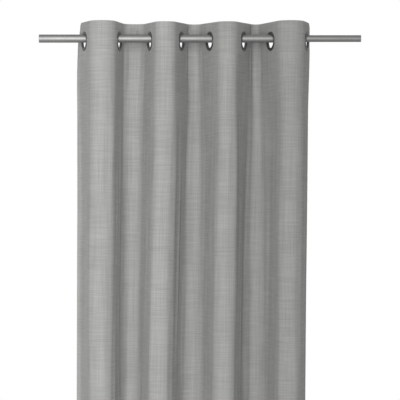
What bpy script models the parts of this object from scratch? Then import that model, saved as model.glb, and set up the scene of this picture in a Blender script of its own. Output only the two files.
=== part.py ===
"""Eyelet curtain panel hung on a telescopic steel rod.

Units are metres and +Z is up. The origin is on the rod's axis, midway between the rod's
two ends. +X runs along the rod, from the curtain's fixed edge to its leading edge, and
the face of the cloth looks towards -Y.

The cloth hangs in an S-wave. Eyelet by eyelet it crosses the rod on a flat flank, and a
round fold joins each flank to the next. It is one length of cloth in use. Here it is made
in one strip for each eyelet, so that every strip can travel along the rod with its eyelet.
"""
import math

import bmesh
import bpy

# Clearance left between two pieces that touch.
GAP = 0.0003

# Rod: a thin tube that slides in and out of a thicker one.
OUTER_TUBE_LENGTH = 0.730
OUTER_TUBE_RADIUS = 0.012
OUTER_TUBE_WALL = 0.0017
INNER_TUBE_LENGTH = 0.460
INNER_TUBE_WALL = 0.0012
TUBE_OVERLAP = 0.250
INNER_TUBE_RADIUS = OUTER_TUBE_RADIUS - OUTER_TUBE_WALL - GAP
ROD_LENGTH = OUTER_TUBE_LENGTH + INNER_TUBE_LENGTH - TUBE_OVERLAP

# Curtain as it hangs: where its eyelets stand on the rod, the angle in degrees at which
# the cloth crosses the rod at each of them, and the cloth's finished size.
CURTAIN_MIDDLE_X = -0.013
EYELET_PITCHES = (0.099, 0.092, 0.089, 0.086, 0.096, 0.082, 0.102)
CROSSING_ANGLES = (70, 77, 73, 73, 67, 70, 67, 76)
FLAT_WIDTH = 1.400
DROP = 2.400
TOP_MARGIN = 0.056
EDGE_RETURN = 0.060
LEFT_RETURN_BEND = 0.031
RIGHT_RETURN_BEND = 0.120

# Cloth, its turned hems and the stiffener inside the heading.
CLOTH = 0.0008
STIFFENER = 0.0004
HEADING_HEM = 0.150
BOTTOM_HEM = 0.100
HEM_LAYERS = 3
TOP_FOLD_STEPS = 2
BEND_STEPS = 4

# Eyelet: a ring with a barrel on the face, and a ring that the barrel is rolled over.
BORE_RADIUS = 0.020
BARREL_WALL = 0.0010
RING_RADIUS = 0.028
RING_HEIGHT = 0.0018
BACK_RING_HEIGHT = 0.0009
LIP_WIDTH = 0.0016
LIP_HEIGHT = 0.0005
SEAT_MARGIN = 0.0020
BORE_GAP = 0.00005
DOME_STEPS = 4
RING_SEGMENTS = 24
TUBE_SEGMENTS = 40

# Offsets across the cloth that follow from the sizes above.
SLOT_HALF = STIFFENER / 2 + GAP
FACE_OFFSET = SLOT_HALF + CLOTH
SEAT_OFFSET = FACE_OFFSET + GAP
SEAT_HALF = RING_RADIUS + SEAT_MARGIN
BARREL_RADIUS = BORE_RADIUS + BARREL_WALL
BACK_SEAT = SEAT_OFFSET + BACK_RING_HEIGHT + GAP
BARREL_DEPTH = BACK_SEAT + LIP_HEIGHT


def facet_height(radius, segments, across):
    """Height of a faceted bore's wall at a distance to the side of its top corner."""
    facet = 2 * math.pi / segments
    corner = math.floor(math.asin(across / radius) / facet)
    start, end = corner * facet, (corner + 1) * facet
    share = (across / radius - math.sin(start)) / (math.sin(end) - math.sin(start))
    return radius * (math.cos(start) + share * (math.cos(end) - math.cos(start)))


def bore_drop():
    """How far an eyelet's centre hangs below the rod's when its bore rests on the tube.

    The bore crosses the rod slantwise, so the tube meets the far end of the barrel off
    centre and as an ellipse. The most slanted eyelet sets the drop for all of them.
    """
    slant = math.radians(min(CROSSING_ANGLES))
    shift = BARREL_DEPTH / math.tan(slant)
    rooms = []
    for corner in range(TUBE_SEGMENTS // 4):
        turn = 2 * math.pi * corner / TUBE_SEGMENTS
        across = OUTER_TUBE_RADIUS * math.sin(turn) / math.sin(slant) + shift
        if across < BORE_RADIUS:
            tube_top = OUTER_TUBE_RADIUS * math.cos(turn)
            rooms.append(facet_height(BORE_RADIUS, RING_SEGMENTS, across) - tube_top)
    return min(rooms) - BORE_GAP


# Heights that follow from the sizes above.
HANG = bore_drop()
TOP_Z = TOP_MARGIN - HANG
BOTTOM_Z = TOP_Z - DROP

# Name: base colour, roughness, metallic.
FINISHES = {
    "brushed_steel": ((0.56, 0.56, 0.55), 0.30, 1.0),
    "gunmetal": ((0.11, 0.11, 0.12), 0.34, 1.0),
    "linen_cloth": ((0.40, 0.40, 0.39), 0.92, 0.0),
    "stiffener_felt": ((0.78, 0.77, 0.74), 0.90, 0.0),
}


def clear_scene():
    """Remove whatever the scene holds."""
    for thing in list(bpy.data.objects):
        bpy.data.objects.remove(thing, do_unlink=True)


def finish_of(piece_name, finish):
    """A Principled BSDF material for one piece."""
    colour, roughness, metallic = FINISHES[finish]
    material = bpy.data.materials.new(f"{piece_name}_{finish}")
    material.use_nodes = True
    shader = material.node_tree.nodes["Principled BSDF"]
    shader.inputs["Base Color"].default_value = (*colour, 1.0)
    shader.inputs["Roughness"].default_value = roughness
    shader.inputs["Metallic"].default_value = metallic
    return material


def add_empty(name, location):
    """An empty that stands on the joint axis and carries the pieces of one body."""
    carrier = bpy.data.objects.new(name, None)
    carrier.location = location
    bpy.context.collection.objects.link(carrier)
    return carrier


def add_piece(name, bm, finish, parent, smooth_angle=math.radians(35)):
    """Turn a finished bmesh into a named object with its own material."""
    bmesh.ops.recalc_face_normals(bm, faces=bm.faces)
    mesh = bpy.data.meshes.new(name)
    bm.to_mesh(mesh)
    bm.free()
    mesh.shade_smooth()
    mesh.set_sharp_from_angle(angle=smooth_angle)
    mesh.materials.append(finish_of(name, finish))
    piece = bpy.data.objects.new(name, mesh)
    piece.parent = parent
    bpy.context.collection.objects.link(piece)
    return piece


def turned(profile, segments):
    """Spin a closed profile of (radius, height) points about the local Z axis."""
    bm = bmesh.new()
    corners = [bm.verts.new((radius, 0.0, height)) for radius, height in profile]
    for number, corner in enumerate(corners):
        bm.edges.new((corner, corners[(number + 1) % len(corners)]))
    bmesh.ops.spin(
        bm,
        geom=bm.verts[:] + bm.edges[:],
        cent=(0, 0, 0),
        axis=(0, 0, 1),
        angle=2 * math.pi,
        steps=segments,
        use_merge=True,
    )
    return bm


# ---------------------------------------------------------------- rod


def make_tube(name, left_end, length, radius, wall, parent):
    """A plain cut tube along +X, from its left end, relative to its parent."""
    profile = [(radius - wall, 0), (radius, 0), (radius, length), (radius - wall, length)]
    tube = add_piece(name, turned(profile, TUBE_SEGMENTS), "brushed_steel", parent)
    tube.location = (left_end, 0, 0)
    tube.rotation_euler = (0, math.pi / 2, 0)
    return tube


def make_rod():
    """The outer tube, and the inner tube that slides out of its right-hand mouth."""
    holder = add_empty("rod_holder", (0, 0, 0))
    make_tube(
        "rod_outer_tube", -ROD_LENGTH / 2, OUTER_TUBE_LENGTH,
        OUTER_TUBE_RADIUS, OUTER_TUBE_WALL, holder,
    )
    slider = add_empty("rod_slider", (ROD_LENGTH / 2 - INNER_TUBE_LENGTH, 0, 0))
    make_tube(
        "rod_inner_tube", 0, INNER_TUBE_LENGTH,
        INNER_TUBE_RADIUS, INNER_TUBE_WALL, slider,
    )


# ---------------------------------------------------------------- plan of the wave


def eyelet_places():
    """Where the eyelets stand along the rod."""
    places = [CURTAIN_MIDDLE_X - sum(EYELET_PITCHES) / 2]
    for pitch in EYELET_PITCHES:
        places.append(places[-1] + pitch)
    return places


def fold_side(number):
    """-1 for a fold that swings to the face side, +1 for one that swings back."""
    return -1 if number % 2 == 0 else 1


def crossing_angle(eyelet):
    """The angle to the rod at which the cloth crosses it at an eyelet."""
    return math.radians(CROSSING_ANGLES[eyelet])


def fold_shape(number, length):
    """(left flat, bend radius, right flat) of the cloth between two eyelets.

    The cloth leaves each eyelet straight and at that eyelet's angle, and one round bend
    joins both flats. The three sizes use up the cloth's length, span the eyelets' pitch
    and bring the cloth back to the rod.
    """
    left, right = crossing_angle(number), crossing_angle(number + 1)
    turn = left + right
    sines = math.sin(left) + math.sin(right)
    lean = math.cos(left) - math.cos(right)
    gain = (lean * lean - turn * math.sin(turn)) / sines + sines
    bend = (EYELET_PITCHES[number] - length * math.sin(turn) / sines) / gain
    straight = length - bend * turn
    left_flat = (math.sin(right) * straight + bend * lean) / sines
    return left_flat, bend, straight - left_flat


def length_to_seat(number):
    """The length of cloth that leaves room for both rings on the flats of a fold."""
    low, high = EYELET_PITCHES[number], 2 * EYELET_PITCHES[number]
    left_low, _, right_low = fold_shape(number, low)
    left_high, _, right_high = fold_shape(number, high)
    needs = [
        low + (high - low) * (SEAT_HALF - flat_low) / (flat_high - flat_low)
        for flat_low, flat_high in ((left_low, left_high), (right_low, right_high))
    ]
    return max(needs)


def flat_pitch():
    """Length of cloth from eyelet to eyelet: an even share, or more if the rings need it."""
    share = (FLAT_WIDTH - 2 * EDGE_RETURN) / len(EYELET_PITCHES)
    return max([share] + [length_to_seat(fold) for fold in range(len(EYELET_PITCHES))])


def half_fold(start_angle, flat, bend, length, steps):
    """(distance along the rod, distance from it, angle to it) on the way from an eyelet.

    The cloth runs straight for its flat length and then turns on its bend radius. The
    last point is where the cloth has run its whole length.
    """
    stations = [flat + (length - flat) * step / steps for step in range(steps + 1)]
    course = []
    for run in stations:
        angle = start_angle - (run - flat) / bend
        along = flat * math.cos(start_angle) + bend * (math.sin(start_angle) - math.sin(angle))
        away = flat * math.sin(start_angle) + bend * (math.cos(angle) - math.cos(start_angle))
        course.append((along, away, angle))
    return course


def half_fold_beside(eyelet, side):
    """The half fold on the left (-1) or right (+1) of an eyelet, ending at its crest."""
    fold = eyelet if side > 0 else eyelet - 1
    angle = crossing_angle(eyelet)
    if fold < 0:
        return half_fold(angle, SEAT_HALF, LEFT_RETURN_BEND, EDGE_RETURN, BEND_STEPS)
    if fold >= len(EYELET_PITCHES):
        return half_fold(angle, SEAT_HALF, RIGHT_RETURN_BEND, EDGE_RETURN, BEND_STEPS)
    left_flat, bend, right_flat = fold_shape(fold, flat_pitch())
    flat = left_flat if side > 0 else right_flat
    return half_fold(angle, flat, bend, flat + angle * bend - GAP / 2, BEND_STEPS)


def strip_course(eyelet):
    """Plan of one strip, left to right: ((x, y), face normal) from the eyelet's centre."""
    swing, left = fold_side(eyelet - 1), half_fold_beside(eyelet, -1)
    course = []
    for along, away, angle in reversed(left):
        normal = (-swing * math.sin(angle), -math.cos(angle))
        course.append(((-along, swing * away), normal))
    swing, right = fold_side(eyelet), half_fold_beside(eyelet, 1)
    for along, away, angle in right:
        normal = (swing * math.sin(angle), -math.cos(angle))
        course.append(((along, swing * away), normal))
    return course


# ---------------------------------------------------------------- cloth


def cloth_profile():
    """Closed (offset, height) outline of the hemmed cloth, face side positive.

    The heading is turned over to the back round the stiffener's slot, and the foot is
    turned up into a hem of several layers.
    """
    outline = [(FACE_OFFSET, BOTTOM_Z)]
    for step in range(TOP_FOLD_STEPS + 1):
        angle = math.pi * step / TOP_FOLD_STEPS
        rise = CLOTH * math.sin(angle)
        outline.append((FACE_OFFSET * math.cos(angle), TOP_Z - CLOTH + rise))
    hem_offset = FACE_OFFSET - HEM_LAYERS * CLOTH
    outline += [
        (-FACE_OFFSET, TOP_Z - HEADING_HEM),
        (-SLOT_HALF, TOP_Z - HEADING_HEM),
        (-SLOT_HALF, TOP_Z - 2 * CLOTH),
        (SLOT_HALF, TOP_Z - 2 * CLOTH),
        (SLOT_HALF, BOTTOM_Z + BOTTOM_HEM),
        (hem_offset, BOTTOM_Z + BOTTOM_HEM),
        (hem_offset, BOTTOM_Z),
    ]
    return outline


def stiffener_profile():
    """Closed (offset, height) outline of the stiffener in the heading's slot."""
    top = TOP_Z - 2 * CLOTH - GAP
    foot = TOP_Z - HEADING_HEM + GAP
    half = STIFFENER / 2
    return [(half, foot), (half, top), (-half, top), (-half, foot)]


def swept(course, profile):
    """Carry a closed profile along a plan course and close both ends."""
    bm = bmesh.new()
    rows = []
    for (x, y), (across_x, across_y) in course:
        rows.append([
            bm.verts.new((x + offset * across_x, y + offset * across_y, height))
            for offset, height in profile
        ])
    count = len(profile)
    for near, far in zip(rows, rows[1:]):
        for corner in range(count):
            after = (corner + 1) % count
            bm.faces.new((near[corner], near[after], far[after], far[corner]))
    bm.faces.new(rows[0])
    bm.faces.new(reversed(rows[-1]))
    return bm


def make_hole_cutter(name, heading, parent):
    """The round punch that clears an eyelet's barrel, not part of the curtain."""
    bm = bmesh.new()
    bmesh.ops.create_cone(
        bm,
        cap_ends=True,
        segments=RING_SEGMENTS,
        radius1=BARREL_RADIUS + GAP,
        radius2=BARREL_RADIUS + GAP,
        depth=8 * FACE_OFFSET,
    )
    mesh = bpy.data.meshes.new(name)
    bm.to_mesh(mesh)
    bm.free()
    cutter = bpy.data.objects.new(name, mesh)
    cutter.parent = parent
    cutter.location = (0, 0, -HANG)
    cutter.rotation_euler = (math.pi / 2, 0, heading)
    cutter.hide_render = True
    cutter.display_type = "WIRE"
    bpy.context.collection.objects.link(cutter)
    return cutter


def punch(piece, cutter):
    """Cut the eyelet hole through a piece."""
    hole = piece.modifiers.new("eyelet_hole", "BOOLEAN")
    hole.operation = "DIFFERENCE"
    hole.solver = "EXACT"
    hole.object = cutter


# ---------------------------------------------------------------- eyelet


def domed(inner, outer, base, height, steps):
    """Points over the crown of a ring, from its inner edge to its outer edge."""
    middle = (inner + outer) / 2
    half = (outer - inner) / 2
    points = []
    for step in range(steps + 1):
        angle = math.pi * (1 - step / steps)
        points.append((middle + half * math.cos(angle), base + height * math.sin(angle)))
    return points


def front_ring_profile():
    """Ring and barrel, turned about the eyelet's axis, face side up."""
    shoulder = SEAT_OFFSET + RING_HEIGHT / 4
    crown = domed(BORE_RADIUS, RING_RADIUS, shoulder, RING_HEIGHT * 3 / 4, DOME_STEPS)
    return [
        (BORE_RADIUS, -BARREL_DEPTH),
        *crown,
        (RING_RADIUS, SEAT_OFFSET),
        (BARREL_RADIUS, SEAT_OFFSET),
        (BARREL_RADIUS, -BACK_SEAT),
        (BARREL_RADIUS + LIP_WIDTH, -BACK_SEAT),
        (BARREL_RADIUS + LIP_WIDTH, -BACK_SEAT - LIP_HEIGHT / 2),
        (BARREL_RADIUS, -BARREL_DEPTH),
    ]


def back_ring_profile():
    """Flat-bottomed washer that lies on the back of the heading, outer edge bevelled."""
    seat = -SEAT_OFFSET
    crown = seat - BACK_RING_HEIGHT
    inner = BARREL_RADIUS + GAP
    return [
        (inner, seat),
        (inner, crown),
        (RING_RADIUS - BACK_RING_HEIGHT, crown),
        (RING_RADIUS, seat - BACK_RING_HEIGHT / 3),
        (RING_RADIUS, seat),
    ]


def make_ring(name, profile, heading, carrier):
    """One half of an eyelet, turned and set square to the cloth's flank."""
    ring = add_piece(name, turned(profile, RING_SEGMENTS), "gunmetal", carrier)
    ring.location = (0, 0, -HANG)
    ring.rotation_euler = (math.pi / 2, 0, heading)


def make_eyelet_and_strip(number, place):
    """Everything that travels with one eyelet: its two rings, its cloth, its stiffener."""
    label = number + 1
    carrier = add_empty(f"eyelet_{label}_carrier", (place, 0, 0))
    heading = fold_side(number) * crossing_angle(number)
    make_ring(f"eyelet_{label}_front_ring", front_ring_profile(), heading, carrier)
    make_ring(f"eyelet_{label}_back_ring", back_ring_profile(), heading, carrier)
    cutter = make_hole_cutter(f"eyelet_{label}_punch", heading, carrier)
    course = strip_course(number)
    cloth = add_piece(
        f"curtain_cloth_{label}", swept(course, cloth_profile()), "linen_cloth", carrier
    )
    stiffener = add_piece(
        f"heading_stiffener_{label}", swept(course, stiffener_profile()),
        "stiffener_felt", carrier,
    )
    punch(cloth, cutter)
    punch(stiffener, cutter)


def main():
    """Build the rod and hang the curtain on it, eyelet by eyelet."""
    clear_scene()
    make_rod()
    for number, place in enumerate(eyelet_places()):
        make_eyelet_and_strip(number, place)


main()
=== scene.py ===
"""Finished look of an eyelet curtain panel that hangs on a telescopic steel rod.

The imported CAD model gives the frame: where each eyelet stands on the rod, how thick the
rod is and which body each piece rides on. This script cuts the cloth to its flat size,
hangs it in its wave from eyelet to eyelet, sews its hems, sets its eyelets and dresses
every piece with a procedural finish. All sizes are in metres.
"""
import logging
import math
from dataclasses import dataclass, field
from enum import Enum

import bpy
import numpy as np
from mathutils import Matrix, Vector


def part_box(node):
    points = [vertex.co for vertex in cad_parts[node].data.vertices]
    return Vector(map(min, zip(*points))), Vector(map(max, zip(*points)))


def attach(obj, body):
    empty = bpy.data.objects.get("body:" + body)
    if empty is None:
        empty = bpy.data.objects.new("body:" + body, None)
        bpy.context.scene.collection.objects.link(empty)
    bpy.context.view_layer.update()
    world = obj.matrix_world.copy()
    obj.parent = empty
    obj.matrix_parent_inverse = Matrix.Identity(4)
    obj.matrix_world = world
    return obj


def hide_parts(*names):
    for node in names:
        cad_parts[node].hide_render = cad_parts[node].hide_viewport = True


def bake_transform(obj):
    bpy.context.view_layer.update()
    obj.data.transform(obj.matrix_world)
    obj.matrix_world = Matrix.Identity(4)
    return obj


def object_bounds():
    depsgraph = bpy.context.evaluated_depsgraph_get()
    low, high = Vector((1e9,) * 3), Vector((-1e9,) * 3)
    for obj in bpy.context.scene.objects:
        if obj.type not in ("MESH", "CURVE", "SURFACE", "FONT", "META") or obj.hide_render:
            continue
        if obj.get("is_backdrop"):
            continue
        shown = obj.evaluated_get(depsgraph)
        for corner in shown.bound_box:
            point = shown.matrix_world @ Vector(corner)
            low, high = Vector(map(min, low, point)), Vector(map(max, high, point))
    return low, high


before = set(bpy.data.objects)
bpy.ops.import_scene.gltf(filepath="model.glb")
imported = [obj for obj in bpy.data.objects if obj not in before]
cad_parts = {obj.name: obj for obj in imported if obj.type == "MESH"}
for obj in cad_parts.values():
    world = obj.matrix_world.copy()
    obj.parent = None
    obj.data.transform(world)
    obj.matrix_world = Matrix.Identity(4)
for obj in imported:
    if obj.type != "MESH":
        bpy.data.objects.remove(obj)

LOG = logging.getLogger("curtain")
EYELET_COUNT = 8
# names of the cloth's flat chart and of the mark that tells how rubbed a metal is
CHART = "UVMap"
RUB_MARK = "rub"


class FoldSide(Enum):
    """Which way a fold swings from the rod."""

    TO_ROOM = -1
    TO_WALL = 1

    @staticmethod
    def of(fold: int) -> "FoldSide":
        """The side of a fold, counted from the curtain's left edge."""
        return FoldSide.TO_ROOM if fold % 2 == 0 else FoldSide.TO_WALL


class Leaf(Enum):
    """Which side of the cloth a row of stitches shows on."""

    FACE = 1
    BACK = -1


class Edge(Enum):
    """The two upright edges of the curtain."""

    LEFT = "left"
    RIGHT = "right"


# ------------------------------------------------------------------ operators


def select_none() -> None:
    """Leave edit mode and deselect everything."""
    if bpy.context.object and bpy.context.object.mode != "OBJECT":
        bpy.ops.object.mode_set(mode="OBJECT")
    bpy.ops.object.select_all(action="DESELECT")


def select_only(piece: bpy.types.Object) -> None:
    """Make one piece the selected and active one.

    Args:
        piece: The object to select.
    """
    select_none()
    piece.select_set(True)
    bpy.context.view_layer.objects.active = piece


def apply_modifier(piece: bpy.types.Object, kind: str, **settings: object) -> None:
    """Add one modifier with its settings and apply it.

    Args:
        piece: The mesh object.
        kind: The modifier's type.
        settings: Its settings by name.
    """
    select_only(piece)
    modifier = piece.modifiers.new(kind.lower(), kind)
    for name, value in settings.items():
        setattr(modifier, name, value)
    bpy.ops.object.modifier_apply(modifier=modifier.name)


def edit(piece: bpy.types.Object, *steps: object) -> None:
    """Run edit-mode steps on the whole mesh of one piece.

    Args:
        piece: The mesh object to edit.
        steps: Callables that each run one edit-mode operator.
    """
    select_only(piece)
    bpy.ops.object.mode_set(mode="EDIT")
    bpy.ops.mesh.select_all(action="SELECT")
    for step in steps:
        step()
    bpy.ops.object.mode_set(mode="OBJECT")


def face_outwards() -> None:
    """Point the selected faces out of their closed body."""
    bpy.ops.mesh.normals_make_consistent(inside=False)


def merge_close() -> None:
    """Merge vertices that lie on each other."""
    bpy.ops.mesh.remove_doubles(threshold=1e-6)


def smooth(piece: bpy.types.Object, degrees: float = 40.0) -> None:
    """Shade a piece smooth up to an edge angle."""
    select_only(piece)
    bpy.ops.object.shade_smooth_by_angle(angle=math.radians(degrees))


def coordinates(piece: bpy.types.Object) -> np.ndarray:
    """The vertices of a piece as an array of rows (x, y, z).

    Args:
        piece: The mesh object.

    Returns:
        One row for every vertex.
    """
    flat = np.empty(len(piece.data.vertices) * 3)
    piece.data.vertices.foreach_get("co", flat)
    return flat.reshape(-1, 3)


def set_coordinates(piece: bpy.types.Object, points: np.ndarray) -> None:
    """Write rows (x, y, z) back to the vertices of a piece."""
    piece.data.vertices.foreach_set("co", points.ravel())
    piece.data.update()


def delete_faces(piece: bpy.types.Object, doomed: np.ndarray) -> None:
    """Delete the faces whose flag is set.

    Args:
        piece: The mesh object.
        doomed: One flag for every face.
    """
    select_only(piece)
    bpy.context.tool_settings.mesh_select_mode = (False, False, True)
    mesh = piece.data
    mesh.vertices.foreach_set("select", np.zeros(len(mesh.vertices), bool))
    mesh.edges.foreach_set("select", np.zeros(len(mesh.edges), bool))
    mesh.polygons.foreach_set("select", doomed)
    bpy.ops.object.mode_set(mode="EDIT")
    bpy.ops.mesh.delete(type="FACE")
    bpy.ops.object.mode_set(mode="OBJECT")
    bpy.context.tool_settings.mesh_select_mode = (True, False, False)


def smoothstep(value: np.ndarray, start: float, end: float) -> np.ndarray:
    """Smooth ramp from 0 at start to 1 at end."""
    ramp = np.clip((value - start) / (end - start), 0.0, 1.0)
    return ramp * ramp * (3.0 - 2.0 * ramp)


def dress(piece: bpy.types.Object, material: bpy.types.Material) -> None:
    """Give a piece its material.

    Args:
        piece: The mesh object.
        material: The material to dress it with.
    """
    piece.data.materials.clear()
    piece.data.materials.append(material)


# ------------------------------------------------------------------ shader tools


class Graph:
    """Short hand for building a node tree."""

    def __init__(self, tree: bpy.types.NodeTree) -> None:
        """Keep the tree that nodes are added to."""
        self.tree = tree

    def node(self, kind: str, **settings: object) -> bpy.types.Node:
        """Add a node and set its properties.

        Args:
            kind: The node's type.
            settings: Its properties by name.

        Returns:
            The new node.
        """
        made = self.tree.nodes.new(kind)
        for name, value in settings.items():
            setattr(made, name, value)
        return made

    def feed(self, target: bpy.types.NodeSocket, value: object) -> None:
        """Link a socket to another one, or set its value.

        Args:
            target: The input socket.
            value: A socket, or what to set it to.
        """
        if isinstance(value, bpy.types.NodeSocket):
            self.tree.links.new(value, target)
        else:
            target.default_value = value

    def feed_all(self, node: bpy.types.Node, values: dict[str, object]) -> None:
        """Link or set several inputs of one node by their names."""
        for label, value in values.items():
            self.feed(node.inputs[label], value)

    def math(self, operation: str, *values: object) -> bpy.types.NodeSocket:
        """A Math node on up to three values or sockets.

        Args:
            operation: What the node does.
            values: Values or sockets, in order.

        Returns:
            The node's output socket.
        """
        made = self.node("ShaderNodeMath", operation=operation)
        for socket, value in zip(made.inputs, values):
            self.feed(socket, value)
        return made.outputs[0]

    def ramp(self, value: object, low: float, high: float, start: object = 0.0,
             end: object = 1.0) -> bpy.types.NodeSocket:
        """Map a value from low..high to start..end, smoothly and clamped.

        Args:
            value: The value or socket to map.
            low: Where the ramp starts.
            high: Where it ends.
            start: What it gives at low.
            end: What it gives at high.

        Returns:
            The node's output socket.
        """
        made = self.node("ShaderNodeMapRange", interpolation_type="SMOOTHSTEP")
        for socket, item in zip(made.inputs, (value, low, high, start, end)):
            self.feed(socket, item)
        return made.outputs[0]

    def combine(self, x: object, y: object, z: object = 0.0) -> bpy.types.NodeSocket:
        """A vector from three values.

        Args:
            x: First part.
            y: Second part.
            z: Third part.

        Returns:
            The node's output socket.
        """
        made = self.node("ShaderNodeCombineXYZ")
        for socket, value in zip(made.inputs, (x, y, z)):
            self.feed(socket, value)
        return made.outputs[0]

    def noise(self, vector: object, scale: object, detail: float = 2.0,
              roughness: float = 0.5) -> bpy.types.NodeSocket:
        """Noise factor at a vector.

        Args:
            vector: Where the noise is read.
            scale: How fine it is.
            detail: How many finer layers it has.
            roughness: How strong those are.

        Returns:
            The node's output socket.
        """
        made = self.node("ShaderNodeTexNoise")
        self.feed_all(made, {
            "Vector": vector, "Scale": scale, "Detail": detail, "Roughness": roughness,
        })
        return made.outputs[0]

    def mix(self, factor: object, first: object, second: object) -> bpy.types.NodeSocket:
        """Mix of two colours.

        Args:
            factor: Share of the second colour.
            first: First colour.
            second: Second colour.

        Returns:
            The node's output socket.
        """
        made = self.node("ShaderNodeMix", data_type="RGBA")
        # the node's colour sockets stand behind its number and vector sockets
        for index, value in ((0, factor), (6, first), (7, second)):
            self.feed(made.inputs[index], value)
        return made.outputs[2]

    def scale_vector(self, vector: object, factors: object) -> bpy.types.NodeSocket:
        """A vector multiplied part by part.

        Args:
            vector: The vector.
            factors: What its parts are multiplied by.

        Returns:
            The node's output socket.
        """
        made = self.node("ShaderNodeVectorMath", operation="MULTIPLY")
        self.feed(made.inputs[0], vector)
        self.feed(made.inputs[1], factors)
        return made.outputs[0]


def new_group(name: str, inputs: dict[str, object], outputs: dict[str, str]) -> tuple[Graph, dict]:
    """Start a shader node group.

    Args:
        name: The group's name.
        inputs: Input name to default value; a tuple makes a colour and a None a vector.
        outputs: Output name to socket type.

    Returns:
        The group's graph and a dictionary with its "in" and "out" nodes.
    """
    tree = bpy.data.node_groups.new(name, "ShaderNodeTree")
    for label, value in inputs.items():
        kind = "NodeSocketFloat"
        if value is None:
            kind = "NodeSocketVector"
        elif isinstance(value, tuple):
            kind = "NodeSocketColor"
        socket = tree.interface.new_socket(label, in_out="INPUT", socket_type=kind)
        if value is not None:
            socket.default_value = value
    for label, kind in outputs.items():
        tree.interface.new_socket(label, in_out="OUTPUT", socket_type=kind)
    graph = Graph(tree)
    ends = {"in": graph.node("NodeGroupInput"), "out": graph.node("NodeGroupOutput")}
    return graph, ends


def thread_tone(graph: Graph, thread: object, along: object, changes: float) -> bpy.types.NodeSocket:
    """The tone of one thread, which swells and thins slowly along its length.

    Args:
        graph: The tree to add to.
        thread: Number of the thread, already whole.
        along: Distance along the thread.
        changes: How many changes of tone a metre of thread has.

    Returns:
        The tone, about 0 to 1.
    """
    # neighbours read the noise this far apart, so that their tones differ
    spacing = 7.31
    spot = graph.combine(graph.math("MULTIPLY", thread, spacing),
                         graph.math("MULTIPLY", along, changes))
    return graph.noise(spot, 1.0, 1.0)


def linen_weave_group() -> bpy.types.NodeTree:
    """Plain weave of uneven linen-look yarn, on a UV map in metres.

    Returns:
        A group that puts out the cloth's colour and its height.
    """
    graph, ends = new_group(
        "linen_weave",
        {"UV": None, "Dark Yarn": (0.2, 0.2, 0.2, 1.0), "Light Yarn": (0.5, 0.5, 0.5, 1.0),
         "Thread Pitch": 0.0006, "Slub": 0.5, "Cloud": 0.3},
        {"Color": "NodeSocketColor", "Height": "NodeSocketFloat"},
    )
    warp_changes, weft_changes = 9.0, 14.0
    slub_start, slub_end = 0.36, 0.66
    warp_slubs, slub_tone, slub_rise = 0.8, 0.25, 0.8
    cloud_scale = 9.0
    given = ends["in"].outputs
    split = graph.node("ShaderNodeSeparateXYZ")
    graph.feed(split.inputs[0], given["UV"])
    across, along = split.outputs[0], split.outputs[1]
    warp_run = graph.math("DIVIDE", across, given["Thread Pitch"])
    weft_run = graph.math("DIVIDE", along, given["Thread Pitch"])
    warp_thread = graph.math("FLOOR", warp_run)
    weft_thread = graph.math("FLOOR", weft_run)
    # 1 at the crossings where the warp lies on top, and 0 where the weft does
    warp_on_top = graph.math("PINGPONG", graph.math("ADD", warp_thread, weft_thread), 1.0)

    def on_top(warp: object, weft: object) -> bpy.types.NodeSocket:
        """The value of whichever yarn lies on top."""
        from_weft = graph.math("MULTIPLY", weft, graph.math("SUBTRACT", 1.0, warp_on_top))
        return graph.math("ADD", graph.math("MULTIPLY", warp, warp_on_top), from_weft)

    def crown(thread_run: object) -> bpy.types.NodeSocket:
        """The rounded back of each thread."""
        return graph.math("SINE", graph.math("MULTIPLY", graph.math("FRACT", thread_run), math.pi))

    def slub_mark(across_rate: float, along_rate: float) -> bpy.types.NodeSocket:
        """Thick, pale places that span a few threads and run along them.

        Args:
            across_rate: Places in a metre across the cloth.
            along_rate: Places in a metre along it.

        Returns:
            A mark from -1 to 1.
        """
        spot = graph.combine(graph.math("MULTIPLY", across, across_rate),
                             graph.math("MULTIPLY", along, along_rate))
        return graph.ramp(graph.noise(spot, 1.0, 2.0), slub_start, slub_end, -1.0, 1.0)

    tone = on_top(thread_tone(graph, warp_thread, along, warp_changes),
                  thread_tone(graph, weft_thread, across, weft_changes))
    weft_mark, warp_mark = slub_mark(11.0, 330.0), slub_mark(300.0, 5.0)
    marks = graph.math("ADD", weft_mark, graph.math("MULTIPLY", warp_mark, warp_slubs))
    slub = graph.math("MULTIPLY", marks, given["Slub"])
    cloud = graph.noise(graph.combine(across, along), cloud_scale, 3.0)
    cloudy = graph.math("MULTIPLY", graph.math("SUBTRACT", cloud, 0.5), given["Cloud"])
    shade = graph.math("ADD", graph.math("ADD", tone, graph.math("MULTIPLY", slub, slub_tone)), cloudy)
    crowns = on_top(crown(warp_run), crown(weft_run))
    graph.feed_all(ends["out"], {
        "Color": graph.mix(graph.ramp(shade, 0.0, 1.0), given["Dark Yarn"], given["Light Yarn"]),
        "Height": graph.math("ADD", crowns, graph.math("MULTIPLY", slub, slub_rise)),
    })
    return graph.tree


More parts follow.
